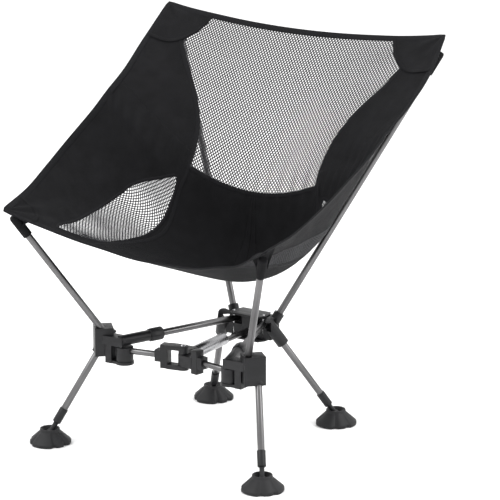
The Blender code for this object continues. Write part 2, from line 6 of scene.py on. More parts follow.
import bmesh
import bpy
import numpy as np
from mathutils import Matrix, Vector

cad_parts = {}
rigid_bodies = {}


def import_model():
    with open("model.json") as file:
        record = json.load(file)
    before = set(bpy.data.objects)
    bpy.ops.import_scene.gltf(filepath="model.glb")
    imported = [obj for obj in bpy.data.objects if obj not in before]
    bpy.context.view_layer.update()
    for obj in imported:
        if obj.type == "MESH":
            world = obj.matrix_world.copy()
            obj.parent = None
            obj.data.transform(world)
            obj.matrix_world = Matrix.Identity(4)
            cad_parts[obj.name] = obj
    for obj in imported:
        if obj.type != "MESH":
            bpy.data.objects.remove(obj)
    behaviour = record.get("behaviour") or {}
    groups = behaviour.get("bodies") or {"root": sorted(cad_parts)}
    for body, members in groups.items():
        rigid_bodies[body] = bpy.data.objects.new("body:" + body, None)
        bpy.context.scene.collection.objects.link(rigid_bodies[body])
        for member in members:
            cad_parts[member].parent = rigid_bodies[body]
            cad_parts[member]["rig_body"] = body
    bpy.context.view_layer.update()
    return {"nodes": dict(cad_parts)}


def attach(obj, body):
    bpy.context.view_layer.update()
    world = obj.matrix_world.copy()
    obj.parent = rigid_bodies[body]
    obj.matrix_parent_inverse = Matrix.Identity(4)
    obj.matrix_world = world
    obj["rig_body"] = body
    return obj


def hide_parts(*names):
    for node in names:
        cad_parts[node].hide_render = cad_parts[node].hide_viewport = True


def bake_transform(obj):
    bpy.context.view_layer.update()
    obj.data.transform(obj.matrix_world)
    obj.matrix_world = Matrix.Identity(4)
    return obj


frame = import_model()

# ---- Sizes, in metres ---------------------------------------------------------------------
CLOTH = 0.0007                # thickness of the woven cloth
TAPE_WIDTH = 0.0105           # binding tape on the rim
SEAM_WIDTH = 0.0080           # flat seams between panels
HEM_WIDTH = 0.0055            # hem round a net leaf
TAPE_THICK = 0.0016
STRAND_PITCH = 0.0044         # distance between neighbouring strands of the net
STRAND_WIDTH = 0.0017
STRAND_THICK = 0.0005
GUSSET_R = 0.0083             # where a corner's cloth closes round a pole's sleeve

# The sling's stations, from the front rim to the top rim: its middle line and its right-hand rim.
MIDDLE = np.array([
    (0, -0.161, 0.321), (0, -0.105, 0.298), (0, -0.036, 0.272), (0, 0.022, 0.254), (0, 0.060, 0.256),
    (0, 0.083, 0.300), (0, 0.097, 0.385), (0, 0.132, 0.462), (0, 0.180, 0.545), (0, 0.234, 0.625),
])
EDGE = np.array([
    (0.243, -0.243, 0.392), (0.251, -0.172, 0.409), (0.259, -0.110, 0.434), (0.264, -0.055, 0.460),
    (0.267, -0.005, 0.484), (0.268, 0.030, 0.502), (0.269, 0.068, 0.524), (0.271, 0.120, 0.552),
    (0.273, 0.178, 0.594), (0.266, 0.236, 0.645),
])
TOP = len(MIDDLE) - 1.0       # station of the top rim
SEAT_END = 5.95               # station of the seam between the seat and the back net

# Where the sling gives way when the frame folds: it turns from the back frame to a front corner
# over these distances, towards the side and towards the front.
FOLD_START = 0.10
FOLD_LENGTH = 0.335
FOLD_WIDTH = 0.24

SIDES = ((-1, "left"), (1, "right"))


# ---- Camera, lights and floor -------------------------------------------------------------
def look_at(thing, target):
    way = Vector(target) - thing.location
    thing.rotation_euler = way.to_track_quat("-Z", "Y").to_euler()


def make_camera():
    """Long lens from the front right, a little above the seat."""
    azimuth, elevation, distance = math.radians(34.0), math.radians(14.8), 4.83
    target = Vector((0.048, 0.012, 0.3135))
    back = Vector((math.sin(azimuth) * math.cos(elevation), -math.cos(azimuth) * math.cos(elevation),
                   math.sin(elevation)))
    lens = bpy.data.cameras.new("camera")
    lens.sensor_width = 36.0
    lens.lens = 219.5
    camera = bpy.data.objects.new("camera", lens)
    bpy.context.scene.collection.objects.link(camera)
    camera.location = target + back * distance
    look_at(camera, target)
    bpy.context.scene.camera = camera


def area_light(name, place, target, size, power):
    data = bpy.data.lights.new(name, "AREA")
    data.shape = "RECTANGLE"
    data.size, data.size_y = size
    data.energy = power
    lamp = bpy.data.objects.new(name, data)
    bpy.context.scene.collection.objects.link(lamp)
    lamp.location = place
    look_at(lamp, target)


def make_stage():
    """White floor that curves up into a backdrop, a bright even sky and three soft boxes."""
    world = bpy.data.worlds.new("studio")
    world.use_nodes = True
    world.node_tree.nodes["Background"].inputs["Color"].default_value = (1.0, 1.0, 1.0, 1.0)
    world.node_tree.nodes["Background"].inputs["Strength"].default_value = 1.15
    bpy.context.scene.world = world
    shape = bmesh.new()
    profile = [(-9.0, 0.0), (5.0, 0.0)]
    profile += [(5.0 + 1.5 * math.sin(a), 1.5 - 1.5 * math.cos(a)) for a in np.linspace(0.1, math.pi / 2, 12)]
    profile.append((6.5, 9.0))
    rows = [[shape.verts.new((x, y, z)) for y, z in profile] for x in (-12.0, 12.0)]
    for i in range(len(profile) - 1):
        shape.faces.new([rows[0][i], rows[0][i + 1], rows[1][i + 1], rows[1][i]][::-1])
    mesh = bpy.data.meshes.new("floor")
    shape.to_mesh(mesh)
    shape.free()
    mesh.shade_smooth()
    floor = bpy.data.objects.new("floor", mesh)
    bpy.context.scene.collection.objects.link(floor)
    floor.rotation_euler.z = math.radians(34.0)
    paper = bpy.data.materials.new("studio_paper")
    paper.use_nodes = True
    shader = paper.node_tree.nodes["Principled BSDF"]
    shader.inputs["Base Color"].default_value = (0.93, 0.93, 0.93, 1.0)
    shader.inputs["Roughness"].default_value = 0.9
    shader.inputs["Specular IOR Level"].default_value = 0.1
    mesh.materials.append(paper)
    area_light("key_box", (-1.6, -2.2, 2.6), (0, 0, 0.3), (2.2, 1.6), 55.0)
    area_light("rim_box", (2.4, 0.6, 1.8), (0, 0, 0.3), (0.9, 2.0), 35.0)
    area_light("top_box", (0.2, 0.6, 3.0), (0, 0, 0.3), (2.5, 2.5), 45.0)


# ---- Materials ----------------------------------------------------------------------------
class Shades:
    """Small helper that builds a node material around one Principled shader."""

    def __init__(self, name, colour, roughness, metallic=0.0):
        self.material = bpy.data.materials.new(name)
        self.material.use_nodes = True
        self.nodes = self.material.node_tree.nodes
        self.links = self.material.node_tree.links
        self.shader = self.nodes["Principled BSDF"]
        self.shader.inputs["Base Color"].default_value = (*colour, 1.0)
        self.shader.inputs["Roughness"].default_value = roughness
        self.shader.inputs["Metallic"].default_value = metallic
        self.colour = colour
        self.place = self.nodes.new("ShaderNodeTexCoord").outputs["Object"]

    def noise(self, scale, detail=4.0, stretch=(1, 1, 1), source=None):
        spread = self.nodes.new("ShaderNodeMapping")
        spread.inputs["Scale"].default_value = stretch
        self.links.new(source or self.place, spread.inputs["Vector"])
        texture = self.nodes.new("ShaderNodeTexNoise")
        texture.inputs["Scale"].default_value = scale
        texture.inputs["Detail"].default_value = detail
        self.links.new(spread.outputs["Vector"], texture.inputs["Vector"])
        return texture.outputs["Fac"]

    def wave(self, scale, axis, source, distortion=0.0):
        texture = self.nodes.new("ShaderNodeTexWave")
        texture.bands_direction = axis
        texture.inputs["Scale"].default_value = scale
        texture.inputs["Distortion"].default_value = distortion
        self.links.new(source, texture.inputs["Vector"])
        return texture.outputs["Fac"]

    def uv(self):
        node = self.nodes.new("ShaderNodeUVMap")
        node.uv_map = "cloth"
        return node.outputs["UV"]

    def math(self, operation, a, b):
        node = self.nodes.new("ShaderNodeMath")
        node.operation = operation
        for socket, value in zip(node.inputs, (a, b)):
            if isinstance(value, (int, float)):
                socket.default_value = value
            else:
                self.links.new(value, socket)
        return node.outputs["Value"]

    def mix(self, first, share, second):
        """The first value's share, plus the rest of the second."""
        return self.math("ADD", self.math("MULTIPLY", first, share), self.math("MULTIPLY", second, 1 - share))

    def spread_colour(self, factor, low, high):
        """Base colour that runs from low to high times the plain colour with a factor."""
        ramp = self.nodes.new("ShaderNodeValToRGB")
        ends = ramp.color_ramp.elements
        ends[0].position, ends[1].position = 0.25, 0.75
        ends[0].color = (*[c * low for c in self.colour], 1.0)
        ends[1].color = (*[c * high for c in self.colour], 1.0)
        self.links.new(factor, ramp.inputs["Fac"])
        self.links.new(ramp.outputs["Color"], self.shader.inputs["Base Color"])

    def spread_roughness(self, factor, low, high):
        spread = self.nodes.new("ShaderNodeMapRange")
        spread.inputs["To Min"].default_value = low
        spread.inputs["To Max"].default_value = high
        self.links.new(factor, spread.inputs["Value"])
        self.links.new(spread.outputs["Result"], self.shader.inputs["Roughness"])

    def bump(self, height, strength, depth):
        node = self.nodes.new("ShaderNodeBump")
        node.inputs["Strength"].default_value = strength
        node.inputs["Distance"].default_value = depth
        self.links.new(height, node.inputs["Height"])
        self.links.new(node.outputs["Normal"], self.shader.inputs["Normal"])


def woven_cloth(name, colour, sheen, roughness=0.78):
    """Plain-weave polyester: crossed threads 0.6 mm apart, soft mottling and a little sheen."""
    made = Shades(name, colour, roughness)
    uv = made.uv()
    warp, weft = made.wave(520.0, "X", uv, 0.6), made.wave(520.0, "Y", uv, 0.6)
    weave = made.math("MULTIPLY", made.math("ADD", warp, weft), 0.5)
    mottle = made.noise(38.0)
    made.spread_colour(made.mix(weave, 0.35, mottle), 0.65, 1.45)
    made.spread_roughness(made.noise(60.0), roughness - 0.1, roughness + 0.1)
    crumple = made.math("MULTIPLY", made.noise(55.0, 5.0), 2.2)
    made.bump(made.math("ADD", weave, crumple), 0.45, 0.0006)
    made.shader.inputs["Sheen Weight"].default_value = sheen
    made.shader.inputs["Sheen Roughness"].default_value = 0.5
    made.shader.inputs["Specular IOR Level"].default_value = 0.11
    return made.material


def tape_weave(name, colour):
    """Ribbed binding tape with a stitch line along each edge."""
    made = Shades(name, colour, 0.7)
    uv = made.uv()
    ribs = made.wave(260.0, "X", uv)
    fine = made.noise(300.0, 3.0)
    made.spread_colour(made.mix(ribs, 0.6, fine), 0.7, 1.5)
    made.spread_roughness(fine, 0.6, 0.8)
    made.bump(ribs, 0.5, 0.0005)
    made.shader.inputs["Specular IOR Level"].default_value = 0.12
    return made.material


def moulded_plastic(name, colour, roughness=0.46):
    """Glass-filled nylon: fine spark texture, faint flow marks, edges a little polished."""
    made = Shades(name, colour, roughness)
    grain, flow = made.noise(900.0, 3.0), made.noise(24.0, 3.0, (1, 1, 2.5))
    made.spread_colour(flow, 0.75, 1.4)
    made.spread_roughness(made.mix(grain, 0.5, flow), roughness - 0.12, roughness + 0.14)
    made.bump(grain, 0.25, 0.0003)
    made.shader.inputs["Specular IOR Level"].default_value = 0.3
    return made.material


def anodised(name, colour, roughness):
    """Drawn aluminium tube: fine draw lines and slightly uneven anodising."""
    made = Shades(name, colour, roughness, 1.0)
    lines, cloud = made.noise(420.0, 2.0, (1, 1, 0.03)), made.noise(14.0, 3.0)
    made.spread_colour(cloud, 0.82, 1.2)
    made.spread_roughness(made.mix(lines, 0.6, cloud), roughness - 0.08, roughness + 0.14)
    made.bump(lines, 0.12, 0.0002)
    return made.material


# ---- Sling surface ------------------------------------------------------------------------
def curve_at(points, stations):
    """Catmull-Rom curve through the points, read at many stations counted in points."""
    stations = np.clip(np.asarray(stations, float), 0.0, TOP)
    index = np.clip(stations.astype(int), 0, len(points) - 2)
    part = (stations - index)[..., None]
    padded = np.vstack([2 * points[0] - points[1], points, 2 * points[-1] - points[-2]])
    before, a, b, after = (padded[index + i] for i in range(4))
    return 0.5 * (
        2 * a + (b - before) * part + (2 * before - 5 * a + 4 * b - after) * part ** 2
        + (3 * a - before - 3 * b + after) * part ** 3
    )


FINE_STATIONS = np.linspace(0.0, TOP, 400)
FINE_STEPS = np.linalg.norm(np.diff(curve_at(MIDDLE, FINE_STATIONS), axis=0), axis=1)
FINE_LENGTH = np.concatenate([[0.0], np.cumsum(FINE_STEPS)])


def bow_of(station):
    """Half width of the cross-section at a station, and how steeply it rises at the rim."""
    middle, edge = curve_at(MIDDLE, station), curve_at(EDGE, station)
    half = edge[..., 0]
    return half, 2 * np.linalg.norm((edge - middle)[..., 1:], axis=-1) / half


def flat_place(across, station):
    """Place on the flat cloth, in metres: sideways along the cross-section's arc, along the middle line."""
    half, bow = bow_of(station)
    sideways = half * (across * np.sqrt(1 + (bow * across) ** 2) + np.arcsinh(bow * across) / bow) / 2
    return sideways, np.broadcast_to(np.interp(station, FINE_STATIONS, FINE_LENGTH), sideways.shape)


def sling_place(sideways, lengthways):
    """The reverse of flat_place, found by Newton's method."""
    station = np.interp(lengthways, FINE_LENGTH, FINE_STATIONS)
    half, bow = bow_of(station)
    across = sideways / half
    for _ in range(8):
        error = flat_place(across, station)[0] - sideways
        across = across - error / (half * np.sqrt(1 + (bow * across) ** 2))
    return across, station


def smooth_sling(across, station):
    middle, edge = curve_at(MIDDLE, station), curve_at(EDGE, station)
    rise = (across ** 2)[..., None]
    point = middle + (edge - middle) * rise
    point[..., 0] = edge[..., 0] * across
    return point


def sling_normal(across, station):
    """Unit normals on the side that a sitter touches."""
    step = 0.02
    over = smooth_sling(across + step, station) - smooth_sling(across - step, station)
    back = (smooth_sling(across, np.minimum(station + step, TOP))
            - smooth_sling(across, np.maximum(station - step, 0.0)))
    normal = np.cross(over, back)
    return normal / np.linalg.norm(normal, axis=-1, keepdims=True)


def wrinkle(across, station):
    """Height of the soft folds: they run out from the four corners and gather along the seat's seams."""
    sideways, lengthways = flat_place(across, station)
    height = np.zeros_like(sideways)
    for side in (-1, 1):
        for corner, waves, reach in ((0.0, 9.0, 0.11), (TOP, 7.0, 0.12)):
            corner_sideways, corner_length = flat_place(np.array(float(side)), np.array(corner))
            dx, dq = sideways - corner_sideways, lengthways - corner_length
            distance = np.hypot(dx, dq)
            angle = np.arctan2(dq, dx)
            fade = np.exp(-distance / reach) * np.minimum(distance / 0.03, 1)
            height += 0.0016 * np.sin(waves * angle + side) * fade
    seam = np.exp(-((station - SEAT_END) / 0.45) ** 2)
    height += 0.0011 * seam * np.sin(sideways * 260.0 + 0.8 * np.sin(sideways * 40.0))
    sides = np.clip((np.abs(across) - 0.45) / 0.2, 0, 1) * np.clip((1.02 - np.abs(across)) / 0.2, 0, 1)
    height += 0.0016 * sides * np.sin(lengthways * 62.0 + sideways * 30.0) * np.sin(lengthways * 17.0 + 1.0)
    front = np.exp(-((station - 0.6) / 0.9) ** 2)
    height += 0.0012 * front * np.sin(sideways * 55.0 + 1.2)
    return height


def sling(across, station, lift=0.0):
    across, station = np.broadcast_arrays(np.asarray(across, float), np.asarray(station, float))
    offset = (wrinkle(across, station) + lift)[..., None]
    return smooth_sling(across, station) + sling_normal(across, station) * offset


# Seam of the middle panels with the sides: share of the half width at each station.
SIDE_SEAM = (
    (0.0, 0.51), (5.2, 0.51), (5.95, 0.46), (6.6, 0.455), (7.2, 0.51), (7.8, 0.66), (8.3, 0.80), (9.0, 0.86),
)


def seam_at(station):
    """The side seam, rounded where its stations meet."""
    stations, shares = zip(*SIDE_SEAM)
    soft = [np.interp(np.clip(station + d, 0, TOP), stations, shares) for d in (-0.3, -0.15, 0.0, 0.15, 0.3)]
    return np.mean(soft, axis=0)


def closed_curve(points, count):
    """Smooth closed curve through (across, station) points."""
    around = np.array(list(points[-2:]) + list(points) + list(points[:3]), float)
    where = np.linspace(2.0, 2.0 + len(points), count, endpoint=False)
    index = where.astype(int)
    part = (where - index)[:, None]
    before, a, b, after = (around[index + i] for i in (-1, 0, 1, 2))
    return 0.5 * (
        2 * a + (b - before) * part + (2 * before - 5 * a + 4 * b - after) * part ** 2
        + (3 * a - before - 3 * b + after) * part ** 3
    )


# Outline of the leaf-shaped net in each side of the seat.
LEAF = closed_curve(((0.735, 0.25), (0.742, 1.3), (0.748, 2.4), (0.748, 3.4), (0.735, 4.2), (0.665, 5.0),
                     (0.525, 5.6), (0.535, 4.85), (0.545, 3.7), (0.535, 2.5), (0.53, 1.5), (0.54, 0.75)), 160)


# ---- Mesh helpers -------------------------------------------------------------------------
def new_object(name, points, faces, material, uv=None):
    mesh = bpy.data.meshes.new(name)
    mesh.from_pydata([tuple(p) for p in points], [], faces)
    if uv is not None:
        layer = mesh.uv_layers.new(name="cloth")
        corners = np.empty(len(mesh.loops), int)
        mesh.loops.foreach_get("vertex_index", corners)
        layer.data.foreach_set("uv", np.asarray(uv, float)[corners].ravel())
    mesh.materials.append(material)
    mesh.shade_smooth()
    thing = bpy.data.objects.new(name, mesh)
    bpy.context.scene.collection.objects.link(thing)
    return thing


def cloth_patch(name, across, station, material, lift=0.0, hole=None):
    """Closed thin sheet over a grid of (across, station) values, open inside hole's outline."""
    rows, columns = across.shape
    across, station = across.ravel().copy(), station.ravel().copy()
    quads = []
    for r in range(rows - 1):
        for c in range(columns - 1):
            corner = r * columns + c
            quads.append((corner, corner + 1, corner + columns + 1, corner + columns))
    if hole is not None:
        middles = np.array([(across[list(q)].mean(), station[list(q)].mean()) for q in quads])
        opened = inside(hole, middles[:, 0], middles[:, 1])
        lip = set(np.array(quads)[opened].ravel()) & set(np.array(quads)[~opened].ravel())
        quads = [q for q, gone in zip(quads, opened) if not gone]
        spots = np.stack(flat_place(across, station), -1)
        rim = np.stack(flat_place(hole[:, 0], hole[:, 1]), -1)
        for index in lip:
            nearest = np.argmin(np.hypot(*(rim - spots[index]).T))
            across[index], station[index] = hole[nearest]
    points = np.vstack([sling(across, station, lift + half * CLOTH) for half in (-0.5, 0.5)])
    count = len(across)
    edges = {(q[i], q[(i + 1) % 4]) for q in quads for i in range(4)}
    faces = [tuple(i + count for i in q) for q in quads] + [q[::-1] for q in quads]
    faces += [(a, b, b + count, a + count) for a, b in sorted(edges) if (b, a) not in edges]
    uv = np.stack(flat_place(across, station), -1)
    made = new_object(name, points, faces, material, np.vstack([uv, uv]))
    shape = bmesh.new()
    shape.from_mesh(made.data)
    bmesh.ops.delete(shape, geom=[v for v in shape.verts if not v.link_faces], context="VERTS")
    shape.to_mesh(made.data)
    shape.free()
    tidy_normals(made)
    return made


def tidy_normals(thing):
    shape = bmesh.new()
    shape.from_mesh(thing.data)
    bmesh.ops.remove_doubles(shape, verts=shape.verts, dist=0.00001)
    bmesh.ops.recalc_face_normals(shape, faces=shape.faces)
    shape.to_mesh(thing.data)
    shape.free()
    thing.data.shade_smooth()
    thing.data.set_sharp_from_angle(angle=math.radians(50))


def strip(name, places, material, width, thickness, closed=False, lift=0.0, inward=0.5):
    """Flat tape along (across, station) places; inward is the share of its width on the left of its way."""
    places = np.asarray(places, float)
    centre = sling(places[:, 0], places[:, 1], lift)
    normal = sling_normal(places[:, 0], places[:, 1])
    if closed:
        way = np.roll(centre, -1, 0) - np.roll(centre, 1, 0)
    else:
        way = np.gradient(centre, axis=0)
    way /= np.linalg.norm(way, axis=1, keepdims=True)
    over = np.cross(normal, way)
    outline = [(-1.0, 0.0), (-0.85, 0.8), (-0.4, 1.0), (0.4, 1.0), (0.85, 0.8),
               (1.0, 0.0), (0.85, -0.8), (0.4, -1.0), (-0.4, -1.0), (-0.85, -0.8)]
    rings = []
    for u, v in outline:
        sideways = (inward - 0.5) * width + u * width / 2
        rings.append(centre + over * sideways + normal * (v * thickness / 2))
    points = np.stack(rings, 1)
    rows, columns = points.shape[:2]
    faces = []
    for r in range(rows if closed else rows - 1):
        for c in range(columns):
            below, above = r * columns, ((r + 1) % rows) * columns
            faces.append([below + c, below + (c + 1) % columns, above + (c + 1) % columns, above + c])
    if not closed:
        faces += [list(range(columns))[::-1], [(rows - 1) * columns + c for c in range(columns)]]
    length = np.concatenate([[0.0], np.cumsum(np.linalg.norm(np.diff(centre, axis=0), axis=1))])
    uv = np.stack([np.repeat(length[:, None], columns, 1),
                   np.repeat(np.array([[u for u, _ in outline]]) * width / 2, rows, 0)], -1)
    made = new_object(name, points.reshape(-1, 3), faces, material, uv.reshape(-1, 2))
    tidy_normals(made)
    return made


def inside(polygon, x, y):
    """Which points lie in a closed polygon."""
    found = np.zeros(np.shape(x), bool)
    for (x0, y0), (x1, y1) in zip(polygon, np.roll(polygon, -1, 0)):
        if y0 == y1:
            continue
        crosses = ((y0 > y) != (y1 > y)) & (x < (x1 - x0) * (y - y0) / (y1 - y0) + x0)
        found ^= crosses
    return found


def net(name, region, material):
    """Open net over a region of (across, station) outline: two families of crossed flat strands."""
    flat = np.stack(flat_place(region[:, 0], region[:, 1]), -1)
    middle = (flat.min(0) + flat.max(0)) / 2
    reach = np.linalg.norm(flat.max(0) - flat.min(0)) / 2 + STRAND_PITCH
    points, faces, uv = [], [], []
    step = 0.0012
    along = np.arange(-reach, reach, step)
    for family, angle in enumerate((math.radians(38), math.radians(-38))):
        way = np.array([math.sin(angle), math.cos(angle)])
        over = np.array([way[1], -way[0]])
        level = (family - 0.5) * STRAND_THICK * 0.8
        for shift in np.arange(-reach, reach, STRAND_PITCH):
            line = middle + shift * over + along[:, None] * way
            holds = inside(flat, line[:, 0], line[:, 1])
            edges = np.flatnonzero(np.diff(np.concatenate([[False], holds, [False]]).astype(int)))
            for first, last in zip(edges[::2], edges[1::2]):
                length = (last - first) * step
                if length < 2 * step:
                    continue
                count = max(2, int(length / 0.009) + 1)
                spots = line[first] + np.linspace(0, length, count)[:, None] * way
                a, s = sling_place(spots[:, 0], spots[:, 1])
                normal = sling_normal(a, s)
                centre = sling(a, s, level)
                forward = np.gradient(centre, axis=0)
                forward /= np.linalg.norm(forward, axis=1, keepdims=True)
                side = np.cross(normal, forward) * STRAND_WIDTH / 2
                thick = normal * STRAND_THICK / 2
                base = len(points) * 4
                for row in range(count):
                    over_edge, under_edge = centre[row] + thick[row], centre[row] - thick[row]
                    points.append([over_edge + side[row], over_edge - side[row],
                                   under_edge - side[row], under_edge + side[row]])
                    uv += [spots[row]] * 4
                for ring in range(base, base + (count - 1) * 4, 4):
                    for c in range(4):
                        n = (c + 1) % 4
                        faces.append([ring + c, ring + n, ring + 4 + n, ring + 4 + c])
                faces.append([base + 3, base + 2, base + 1, base])
                end = base + (count - 1) * 4
                faces.append([end, end + 1, end + 2, end + 3])
    made = new_object(name, np.array(points).reshape(-1, 3), faces, material, np.array(uv))
    shape = bmesh.new()
    shape.from_mesh(made.data)
    bmesh.ops.recalc_face_normals(shape, faces=shape.faces)
    shape.to_mesh(made.data)
    shape.free()
    made.data.shade_flat()
    return made


# ---- Cutting the cloth where the chair folds, and putting it on the moving bodies ----------
def cut_copy(source, name, planes):
    """Copy of a closed piece, keeping what is in front of every (point, normal) plane."""
    shape = bmesh.new()
    shape.from_mesh(source.data)
    for point, normal in planes:
        everything = shape.verts[:] + shape.edges[:] + shape.faces[:]
        cut = bmesh.ops.bisect_plane(shape, geom=everything, dist=0.000001, plane_co=point, plane_no=normal,
                                     clear_inner=True)
        edges = [e for e in cut["geom_cut"] if isinstance(e, bmesh.types.BMEdge)]
        rim = [e for e in edges if e.is_valid and e.is_boundary]
        if rim:
            bmesh.ops.holes_fill(shape, edges=rim, sides=0)
    if not shape.faces:
        shape.free()
        return None
    loose = [v for v in shape.verts if not v.link_faces]
    bmesh.ops.delete(shape, geom=loose, context="VERTS")
    mesh = bpy.data.meshes.new(name)
    shape.to_mesh(mesh)
    shape.free()
    for material in source.data.materials:
        mesh.materials.append(material)
    made = bpy.data.objects.new(name, mesh)
    bpy.context.scene.collection.objects.link(made)
    return made


def on_frame(source, sides=SIDES):
    """Cut a finished cloth piece along the fold; the part behind the fold goes to the back frame, the parts
    in front of it stay unattached.
    """
    name = source.name
    source.name = name + ".whole"
    parts = []
    behind = cut_copy(source, name + "_rear", [((0, FOLD_START, 0), (0, 1, 0))])
    if behind:
        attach(behind, "back_frame")
        parts.append(behind)
    for side, word in sides:
        ahead = [((0, FOLD_START, 0), (0, -1, 0)), ((0, 0, 0), (side, 0, 0))]
        # The diagonal from the fold's middle to the front corner, with its two sides.
        inner = (-side * FOLD_LENGTH, -FOLD_WIDTH, 0)
        outer = (side * FOLD_LENGTH, FOLD_WIDTH, 0)
        for label, normal, start, end in (
            ("inner", inner, (0, 0, 0), (side * FOLD_WIDTH, 0, 0)),
            ("outer", outer, (0, FOLD_START, 0), (0, FOLD_START - FOLD_LENGTH, 0)),
        ):
            suffix = "_%s_%s" % (label, word) if len(sides) == 2 else "_" + label
            part = cut_copy(source, name + suffix, ahead + [((0, FOLD_START, 0), normal)])
            if part:
                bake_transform(part)
                parts.append(part)
    bpy.data.objects.remove(source)
    return parts


def surface_area(thing):
    """Half the surface of a closed thin piece: the area of its cloth."""
    return sum(face.area for face in thing.data.polygons) / 2


def flat_size(part):
    """Sides of the smallest upright rectangle, along the piece's own length, that its flat cloth fits in."""
    layer = part.data.uv_layers["cloth"]
    flat = np.empty(len(part.data.loops) * 2)
    layer.data.foreach_get("uv", flat)
    flat = flat.reshape(-1, 2)
    flat -= flat.mean(0)
    sizes = []
    for angle in np.radians(np.arange(0, 90, 5)):
        turn = np.array([[math.cos(angle), -math.sin(angle)], [math.sin(angle), math.cos(angle)]])
        sizes.append(np.ptp(flat @ turn, axis=0))
    return max(sizes, key=lambda size: -size[0] * size[1])


def flat_area(part):
    """Area of the piece's flat cloth, from its cloth coordinates; both faces count, so halve it."""
    layer = part.data.uv_layers["cloth"].data
    total = 0.0
    for face in part.data.polygons:
        spots = [layer[loop].uv for loop in face.loop_indices]
        total += abs(sum(a.x * b.y - b.x * a.y for a, b in zip(spots, spots[1:] + spots[:1]))) / 2
    return total / 2


def outline_area(region):
    """Flat area inside a closed (across, station) outline."""
    x, y = flat_place(region[:, 0], region[:, 1])
    return abs(np.dot(x, np.roll(y, -1)) - np.dot(y, np.roll(x, -1))) / 2


SEWN_TO = {"seat_cloth": ("seam_",), "side_cloth": ("rim", "leaf_hem"), "top_corner": ("top_corner_hem",),
           "front_corner": ("front_corner_hem",)}


def take_trims(part, trims):
    """The tapes sewn to a cloth part; each tape goes with one part only."""
    kinds = [kinds for start, kinds in SEWN_TO.items() if part.name.startswith(start)]
    label = [label for label in ("rear", "inner", "outer") if label in part.name]
    sides = [word for _, word in SIDES if word in part.name]
    found = []
    for trim in trims:
        same_side = not sides or sides[0] in trim.name or not any(word in trim.name for _, word in SIDES)
        if kinds and label and label[0] in trim.name and same_side and trim.name.startswith(kinds[0]):
            found.append(trim)
    for trim in found:
        trims.remove(trim)
    return found


def declare(parts, areas=None, trims=None):
    for part in parts:
        width, length = sorted(float(side) for side in flat_size(part))
        area = areas[part.name] if areas else flat_area(part)
        if area < 0.3 * width * length:  # a narrow curved part: straightened, it is this wide on average
            width = area / length
        take_trims(part, trims or [])


def shared_area(parts, whole):
    """A net's flat area, shared among its parts by how much yarn each holds."""
    yarn = {part.name: surface_area(part) for part in parts}
    total = sum(yarn.values())
    return {name: whole * amount / total for name, amount in yarn.items()}


# ---- Sling --------------------------------------------------------------------------------
def side_panel(side, word, material):
    """The side of the sling from the front rim to the top corner, open where the net leaf sits."""
    stations = np.linspace(0.0, TOP - 0.02, 190)[:, None]
    shares = np.linspace(0, 1, 44)[None, :]
    across = seam_at(stations) * (1 - shares) + 0.995 * shares
    return cloth_patch("side_cloth_" + word, across * side, np.repeat(stations, 44, 1), material,
                       hole=LEAF * (side, 1))


def corner_patch(name, side, corner, arc, material):
    """Second layer of cloth over a corner: a fan from the corner out to its arc."""
    arc = fine_line(arc, 30)
    reach = np.linspace(0.02, 1, 16)[:, None, None]
    grid = np.array(corner) * (1 - reach) + arc[None] * reach
    return cloth_patch(name, grid[..., 0] * side, grid[..., 1], material, lift=0.0011)


def fine_line(points, count):
    """Points spread evenly along a soft line."""
    points = np.array(points, float)
    where = np.linspace(0, len(points) - 1, count)
    offsets = (-0.35, -0.17, 0.0, 0.17, 0.35)
    last = len(points) - 1
    soft = [[np.interp(np.clip(where + d, 0, last), range(last + 1), points[:, k]) for k in (0, 1)]
            for d in offsets]
    line = np.mean(soft, axis=0).T
    line[0], line[-1] = points[0], points[-1]
    return line


TOP_ARC = ((0.995, 8.12), (0.87, 8.16), (0.78, 8.34), (0.71, 8.60), (0.66, 8.98))
TOP_GUSSET = ((0.87, 8.96), (0.93, 8.96), (0.985, 8.96), (0.985, 8.6))
FRONT_GUSSET = ((0.86, 0.03), (0.93, 0.03), (0.985, 0.03), (0.985, 0.45))
BACK_POLE = ((0.2550, 0.2450, 0.6176), (0.0454, 0.1012, 0.1880))       # tip and foot of a right-hand pole
FRONT_POLE = ((0.2355, -0.2315, 0.380), (0.1370, -0.1265, 0.1795))
FRONT_ARC = ((0.995, 0.62), (0.94, 0.60), (0.88, 0.42), (0.85, 0.20), (0.845, 0.0))


